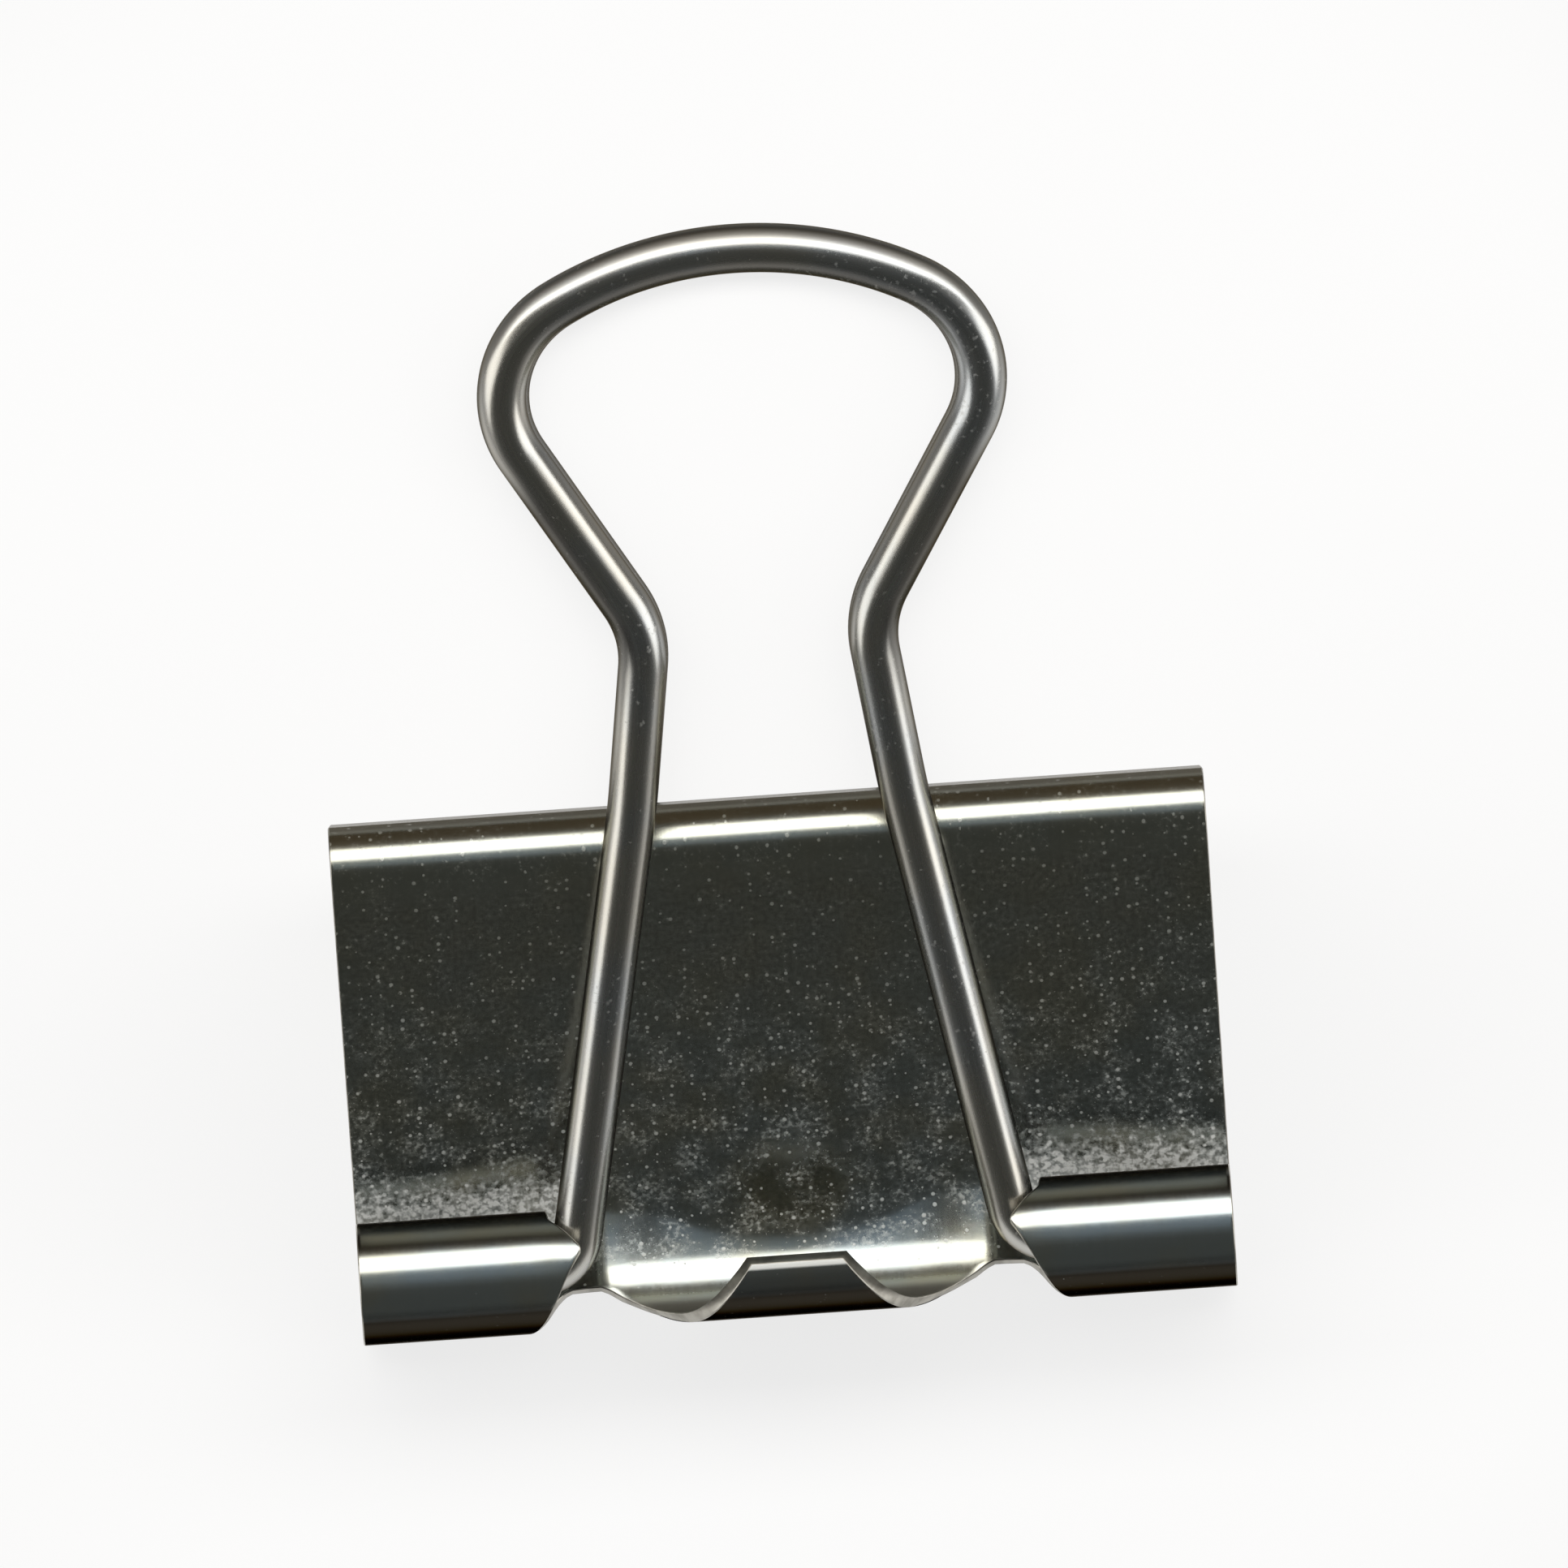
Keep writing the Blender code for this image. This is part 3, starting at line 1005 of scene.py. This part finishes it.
        slides = [np.full(count, aside[0]), aside[-1] - slant]
        flat_x = [x + total[:, 0] * slide for slide in slides]
        flat_along = [along + total[:, 1] * slide for slide in slides]
        flat_lift = [np.full(count, half), np.full(count, -half)]
        ring_of = np.zeros((rings, count), int)
        ring_of[0] = np.arange(count)
        ring_of[-1] = count + np.arange(count)
        for ring in range(1, rings - 1):
            ring_of[ring, rim] = 2 * count + (ring - 1) * len(rim) + np.arange(len(rim))
            slide = aside[ring] - slant[rim] * (ring >= rings // 2)
            flat_x.append(x[rim] + total[rim, 0] * slide)
            flat_along.append(along[rim] + total[rim, 1] * slide)
            flat_lift.append(np.full(len(rim), lift[ring]))
        flat_x, flat_along, flat_lift = (np.concatenate(part) for part in (flat_x, flat_along, flat_lift))
        seam_flags = np.concatenate([on_seam, on_seam] + [on_seam[rim]] * (rings - 2))

        z, y, heading, gone = self.line.at(flat_x, np.maximum(flat_along, 0.0))
        z = z - flat_lift * np.sin(heading)
        y = y + flat_lift * np.cos(heading)
        points = self.clip.place(flat_x, y, z * self.side.value)

        skins = np.vstack((quads, quads[:, ::-1] + count))
        wall = np.vstack([
            np.stack((upper[stops], upper[starts], lower[starts], lower[stops]), axis=1)
            for upper, lower in zip(ring_of, ring_of[1:])
        ])
        middle = np.stack((
            seam_pairs[:, 1], seam_pairs[:, 0], seam_pairs[:, 0] + count, seam_pairs[:, 1] + count,
        ), axis=1)
        faces = np.vstack((skins, middle, wall))
        first = starts[on_seam[starts]]
        last = stops[on_seam[stops]]
        caps = [ring_of[::-1, v].tolist() for v in first] + [ring_of[:, v].tolist() for v in last]
        listed = faces.tolist() + caps
        if self.side is Side.REAR:
            listed = faces[:, ::-1].tolist() + [cap[::-1] for cap in caps]
        finish = np.zeros(len(listed), int)
        finish[len(quads):len(skins)] = 1
        finish[len(skins) + len(middle):len(faces)] = 2
        values = np.stack((flat_x, gone * self.side.value, flat_along), axis=1)
        return MeshParts(points, listed, finish, MeshLayer.STRIP, values, seam_flags)

    def dress(self, finishes: list[bpy.types.Material]) -> bpy.types.Object:
        """Build the leaf and let it stand for its solids.

        Args:
            finishes: materials of the face that is outside on the plate, of the face that is
                outside on the roll and of the cut edges.

        Returns:
            The leaf's object.
        """
        piece = self.mesh().to_object(f"{self.side.word}_leaf", finishes)
        start_y = self.line.body_depth - self.line.sheet / 2
        length = (self.flex_end - self.flex_start) * math.cos(self.flex_lean)
        end_y = start_y - length * math.sin(self.flex_lean)
        end_z = self.flex_start + length * math.cos(self.flex_lean)
        start = self.clip.place(0.0, start_y, self.flex_start * self.side.value)[0]
        end = self.clip.place(0.0, end_y, end_z * self.side.value)[0]
        jaw = f"{self.side.word}_jaw"
        tuple(start)
        tuple(end)
        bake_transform(piece)
        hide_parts(jaw, "spine")
        return piece


@dataclass
class WireHandle:
    """Wire handle: two pins, two legs that lean together, a neck, two shoulders and a crown.

    Sizes are half widths and lengths along the handle's own plane, measured from the pin axis.
    """

    clip: ClipFrame
    line: StripLine
    side: Side
    wire: float = 0.0018
    wire_gap: float = 0.0002
    length: float = 0.039630
    crown_radius: float = 0.0135
    crown_turn: float = math.radians(29.8)
    pin_end: float = 0.0144
    foot: Pair = (0.00818, 0.0017)
    knee: tuple[float, float, float] = (0.00496, 0.0181, 0.0400)
    neck: tuple[float, float, float] = (0.00407, 0.0250, 0.0042)
    shoulder: tuple[float, float, float] = (0.01034, 0.0360, 0.0043)
    sway: float = 0.00022
    spacing: float = 0.0002
    around: int = 40
    arc_steps: int = 120
    end_shares: tuple[float, float, float] = (0.72, 0.94, 1.0)

    def corners(self) -> np.ndarray:
        """Corners of the wire's middle line from the right pin over the crown to the left pin.

        The loop sways a little to the right, more the further it is from the pins.

        Returns:
            Rows of x, length and bend radius.
        """
        crown_up = self.length + self.crown_radius * (1.0 / math.cos(self.crown_turn) - 1.0)
        right = [
            (self.pin_end, 0.0, 0.0),
            (self.foot[0], 0.0, self.foot[1]),
            self.knee,
            self.neck,
            self.shoulder,
        ]
        crown = [(0.0, crown_up, self.crown_radius)]
        left = [(-x, up, radius) for x, up, radius in reversed(right)]
        rows = np.array(right + crown + left)
        rows[:, 0] += self.sway * rows[:, 1] / self.length
        return rows

    def path(self) -> np.ndarray:
        """Middle line with every corner replaced by its arc, at even steps of length.

        An arc's tangent length is its radius times the tangent of half its turn, cut down where
        two arcs share a side that is too short for both.

        Returns:
            Rows of x and length.
        """
        rows = self.corners()
        spots, radii = rows[:, :2], rows[1:-1, 2]
        sides = np.diff(spots, axis=0)
        lengths = np.linalg.norm(sides, axis=1)
        heading = np.arctan2(sides[:, 1], sides[:, 0])
        turn = np.remainder(np.diff(heading) + math.pi, math.tau) - math.pi
        tangent = np.abs(radii * np.tan(turn / 2))
        pads = np.concatenate(((0.0,), tangent, (0.0,)))
        room = np.minimum(1.0, lengths / np.maximum(pads[:-1] + pads[1:], TINY))
        tangent = tangent * np.minimum(room[:-1], room[1:])
        radius = tangent / np.tan(np.abs(turn) / 2)
        normal = heading[:-1] + np.copysign(math.pi / 2, turn)
        begin = spots[1:-1] - tangent[:, None] * ways(heading[:-1])
        centre = begin + radius[:, None] * ways(normal)
        angle = normal[:, None] + math.pi + turn[:, None] * np.linspace(0.0, 1.0, self.arc_steps)[None, :]
        arcs = centre[:, None, :] + radius[:, None, None] * ways(angle)
        line = np.vstack((spots[:1], arcs.reshape(-1, 2), spots[-1:]))
        gone = run_lengths(line)
        apart = np.append(np.diff(gone) > TINY, True)
        line, gone = line[apart], gone[apart]
        steps = np.linspace(0.0, gone[-1], int(gone[-1] / self.spacing))
        return np.stack((np.interp(steps, gone, line[:, 0]), np.interp(steps, gone, line[:, 1])), axis=1)

    def mesh(self) -> MeshParts:
        """Carry a circle along the middle line, on the line's normal and the plane's normal.

        The circle shrinks over the last steps of each pin to a small chamfer, and a point
        closes each end.

        Returns:
            The handle's mesh parts in the model's frame.
        """
        path = self.path()
        tangent = np.gradient(path, axis=0)
        tangent /= np.linalg.norm(tangent, axis=1, keepdims=True)
        normal = np.stack((tangent[:, 1], -tangent[:, 0]), axis=1)
        gone = run_lengths(path)
        from_end = np.minimum(gone, gone[-1] - gone)
        chamfer = (0.0, self.spacing, 2 * self.spacing)
        radius = self.wire / 2 * np.interp(from_end, chamfer, self.end_shares)
        angle = np.linspace(0.0, math.tau, self.around, endpoint=False)
        round_x = radius[:, None] * np.cos(angle)[None, :]
        round_up = radius[:, None] * np.sin(angle)[None, :]
        x = (path[:, :1] + normal[:, :1] * round_x).ravel()
        up = (path[:, 1:] + normal[:, 1:] * round_x).ravel()
        proud = round_up.ravel()
        x = np.concatenate((x, path[[0, -1], 0]))
        up = np.concatenate((up, path[[0, -1], 1]))
        proud = np.concatenate((proud, (0.0, 0.0)))

        clear = self.line.bend_radius + self.wire_gap + self.wire / 2
        lean = self.line.reach_lean + math.asin(clear / self.line.reach)
        y = up * math.cos(lean) - proud * math.sin(lean)
        z = self.line.barrel_z + up * math.sin(lean) + proud * math.cos(lean)
        points = self.clip.place(x, y, z * self.side.value)

        rings, around = len(path), self.around
        quads = bands(rings, around)
        here = np.arange(around)
        after = np.roll(here, -1)
        top = rings * around
        last = (rings - 1) * around
        head = np.stack((np.full(around, top), after, here), axis=1)
        tail = np.stack((np.full(around, top + 1), last + here, last + after), axis=1)
        caps = np.vstack((head, tail))
        if self.side is Side.FRONT:
            quads, caps = quads[:, ::-1], caps[:, ::-1]
        listed = quads.tolist() + caps.tolist()
        values = np.stack((
            np.append(round_x.ravel(), (0.0, 0.0)),
            np.append(round_up.ravel(), (0.0, 0.0)),
            np.append(np.repeat(gone, around), (0.0, gone[-1])) - gone[-1] / 2,
        ), axis=1)
        finish = np.zeros(len(listed), int)
        return MeshParts(points, listed, finish, MeshLayer.WIRE, values, np.zeros(len(points), bool))

    def dress(self, wire: bpy.types.Material) -> bpy.types.Object:
        """Build the handle and let it ride on its body in place of its solid.

        Args:
            wire: material of the wire.

        Returns:
            The handle's object.
        """
        body = f"{self.side.word}_handle"
        piece = self.mesh().to_object(f"{self.side.word}_wire", [wire])
        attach(piece, body)
        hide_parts(body)
        return piece


@dataclass
class Studio:
    """Pale floor with a painted pool of light round the clip, one wide soft light above the spine, a low
    fill on each side and the camera.
    """

    clip: ClipFrame
    floor_colour: Colour = (0.20, 0.20, 0.20)
    floor_far_colour: Colour = (0.22, 0.22, 0.22)
    # glow of the floor near the clip and far from it: a painted pool of light
    floor_lifts: Pair = (0.78, 0.08)
    floor_near: float = 0.034
    floor_far: float = 0.120
    floor_radii: Pair = (0.02, 1.5)
    floor_rings: int = 24
    floor_spokes: int = 64
    floor_level: float = -0.00002
    light_angle: float = math.radians(37.0)
    light_distance: float = 0.32
    light_size: Pair = (1.35, 0.185)
    light_level: float = 3.0
    light_colour: Colour = (1.0, 0.99, 0.97)
    light_aim: Colour = (0.0, 0.012, 0.0)
    fill_level: float = 2.1
    fill_skew: float = 0.10
    fill_size: Pair = (0.235, 0.20)
    fill_place: Colour = (0.30, -0.025, 0.110)
    fill_aim: Colour = (0.0, 0.015, 0.005)
    room_front: Colour = (0.052, 0.054, 0.050)
    room_back: Colour = (0.075, 0.056, 0.034)
    glow_colour: Colour = (0.195, 0.235, 0.275)
    glow_angle: float = math.radians(13.0)
    lens: float = 1400.0
    sensor: float = 36.0
    frame_width: float = 0.05734
    aim: Colour = (0.00072, 0.01720, 0.0030)
    eye_y: float = 0.0368
    roll: float = math.radians(3.95)

    def dress(self) -> None:
        """Put floor, lights, world and camera into the scene."""
        self.floor()
        self.world()
        self.softbox()
        self.fill()
        self.camera()

    def floor(self) -> None:
        """Make a flat floor under the clip as a grid of rings from the middle; its glow, seen by camera and
        mirror rays, is strong near the clip and fades further out, a painted pool of light.
        """
        radius = np.geomspace(*self.floor_radii, self.floor_rings)
        angle = np.linspace(0.0, math.tau, self.floor_spokes, endpoint=False)
        flat = (radius[:, None, None] * ways(angle)[None, :, :]).reshape(-1, 2)
        flat = np.vstack((flat, (0.0, 0.0)))
        points = np.column_stack((flat, np.full(len(flat), self.floor_level)))
        quads = bands(self.floor_rings, self.floor_spokes)[:, ::-1]
        here = np.arange(self.floor_spokes)
        middle = np.stack((np.full(len(here), len(flat) - 1), here, np.roll(here, -1)), axis=1)
        mesh = bpy.data.meshes.new("floor")
        mesh.from_pydata(points.tolist(), [], quads.tolist() + middle.tolist())
        mesh.update()
        floor = add_object("floor", mesh)

        material, graph = Graph.for_material("floor_paper")
        place = graph.add("ShaderNodeTexCoord").outputs["Object"]
        away = graph.add("ShaderNodeVectorMath", {"operation": "LENGTH"}, {0: place}).outputs["Value"]
        share = graph.ramp(away, self.floor_near, self.floor_far)
        # Painted pool of light: the floor's glow falls from near the clip to further out.
        painted_light_pool = graph.ramp(away, self.floor_near, self.floor_far, *self.floor_lifts)
        path = graph.add("ShaderNodeLightPath").outputs
        seen = graph.highest(*(path[f"Is {ray} Ray"] for ray in ("Camera", "Glossy", "Transmission")))
        graph.surface({
            "Base Color": graph.mix(share, self.floor_colour, self.floor_far_colour),
            "Roughness": 0.9,
            "Specular IOR Level": 0.0,
            "Emission Color": (1.0, 1.0, 1.0, 1.0),
            "Emission Strength": graph.product(seen, painted_light_pool),
        })
        mesh.materials.append(material)

    def world(self) -> None:
        """Make a dim room: brown behind the spine, cooler in front of the jaws, paler overhead."""
        world = bpy.data.worlds.new("studio_room")
        world.use_nodes = True
        bpy.context.scene.world = world
        graph = Graph(world.node_tree)
        way = graph.add("ShaderNodeTexCoord").outputs["Generated"]
        side = graph.mix(graph.ramp(graph.parts(way)[1], -0.5, 0.6), self.room_front, self.room_back)
        up = math.cos(self.glow_angle) * self.clip.thick + math.sin(self.glow_angle) * self.clip.deep
        options = {"operation": "DOT_PRODUCT"}
        overhead = graph.add("ShaderNodeVectorMath", options, {0: way, 1: tuple(up)}).outputs["Value"]
        room = graph.mix(graph.ramp(overhead, 0.955, 0.995), side, self.glow_colour)
        graph.fill(world.node_tree.nodes["Background"], {"Color": room})

    def panel(
        self, name: str, spot: np.ndarray, target: np.ndarray, size: Pair, level: float,
    ) -> None:
        """Add one rectangular lamp that faces a point.

        Args:
            name: the lamp's name.
            spot: its middle.
            target: the point it faces.
            size: its width and height.
            level: its brightness as a mirror shows it, 1 for white.
        """
        lamp = bpy.data.lights.new(name, "AREA")
        lamp.shape = "RECTANGLE"
        lamp.size, lamp.size_y = size
        lamp.energy = level * math.pi * size[0] * size[1]
        lamp.color = self.light_colour
        panel = add_object(name, lamp)
        panel.location = Vector(spot)
        panel.rotation_euler = Vector(target - spot).to_track_quat("-Z", "Y").to_euler()
        panel.visible_camera = False

    def softbox(self) -> None:
        """Add the wide soft light that leans from the view towards the spine's side."""
        target = self.clip.place(*self.light_aim)[0]
        way = math.sin(self.light_angle) * self.clip.deep + math.cos(self.light_angle) * self.clip.thick
        self.panel("softbox", target + way * self.light_distance, target, self.light_size, self.light_level)

    def fill(self) -> None:
        """Add a low panel on each side, a little in front of the jaws and the right one brighter."""
        target = self.clip.place(*self.fill_aim)[0]
        x, y, z = self.fill_place
        for side in (-1.0, 1.0):
            spot = self.clip.place(side * x, y, z)[0]
            level = self.fill_level * (1.0 + self.fill_skew * side)
            self.panel(f"fill_{side:+.0f}", spot, target, self.fill_size, level)

    def camera(self) -> None:
        """Look straight at the front jaw's side from far away, with the clip turned a little.

        The eye stands over the handle's crown, so that the rear handle hides behind the front one.
        """
        lens = bpy.data.cameras.new("camera")
        lens.lens = self.lens
        lens.sensor_width = self.sensor
        lens.clip_start = 0.01
        lens.clip_end = 10.0
        away = self.frame_width * self.lens / self.sensor
        aim = self.clip.place(*self.aim)[0]
        eye = self.clip.place(self.aim[0], self.eye_y, away)[0]
        back = (eye - aim) / np.linalg.norm(eye - aim)
        level_up = np.cross(back, self.clip.across)
        right = math.cos(self.roll) * self.clip.across - math.sin(self.roll) * level_up
        upright = math.sin(self.roll) * self.clip.across + math.cos(self.roll) * level_up
        camera = add_object("camera", lens)
        turn = Matrix((right, upright, back)).transposed().to_4x4()
        camera.matrix_world = Matrix.Translation(Vector(eye)) @ turn
        bpy.context.scene.camera = camera


def main() -> None:
    """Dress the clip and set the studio."""
    logging.basicConfig(level=logging.INFO, format="%(name)s: %(message)s")
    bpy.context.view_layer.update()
    scene = bpy.context.scene
    scene.view_settings.view_transform = "Standard"
    clip = ClipFrame.from_record(frame["record"])
    line = StripLine(clip.body_depth, clip.barrel_z)
    Studio(clip).dress()
    finishes = [
        # The plate-side face also lines the inside of the roll and the tab, which it darkens as painted
        # shade from 210 degrees on, with no unshaded front.
        NickelSheet(
            dull_colour=(0.20, 0.19, 0.165), dull_roughness=0.40, rub=0.0, dull_turns=(210.0, 238.0),
        ).material("nickel_plate", line),
        NickelSheet().material("nickel_roll", line),
        CutEdge().material("cut_edge"),
    ]
    wire = NickelWire().material("nickel_wire")
    pieces = []
    for side in Side:
        pieces.append(Leaf(clip, line, side).dress(finishes))
        pieces.append(WireHandle(clip, line, side).dress(wire))
    for piece in pieces:
        LOG.info("%s: %d points, %d faces", piece.name, len(piece.data.vertices), len(piece.data.polygons))


if __name__ == "__main__":
    main()
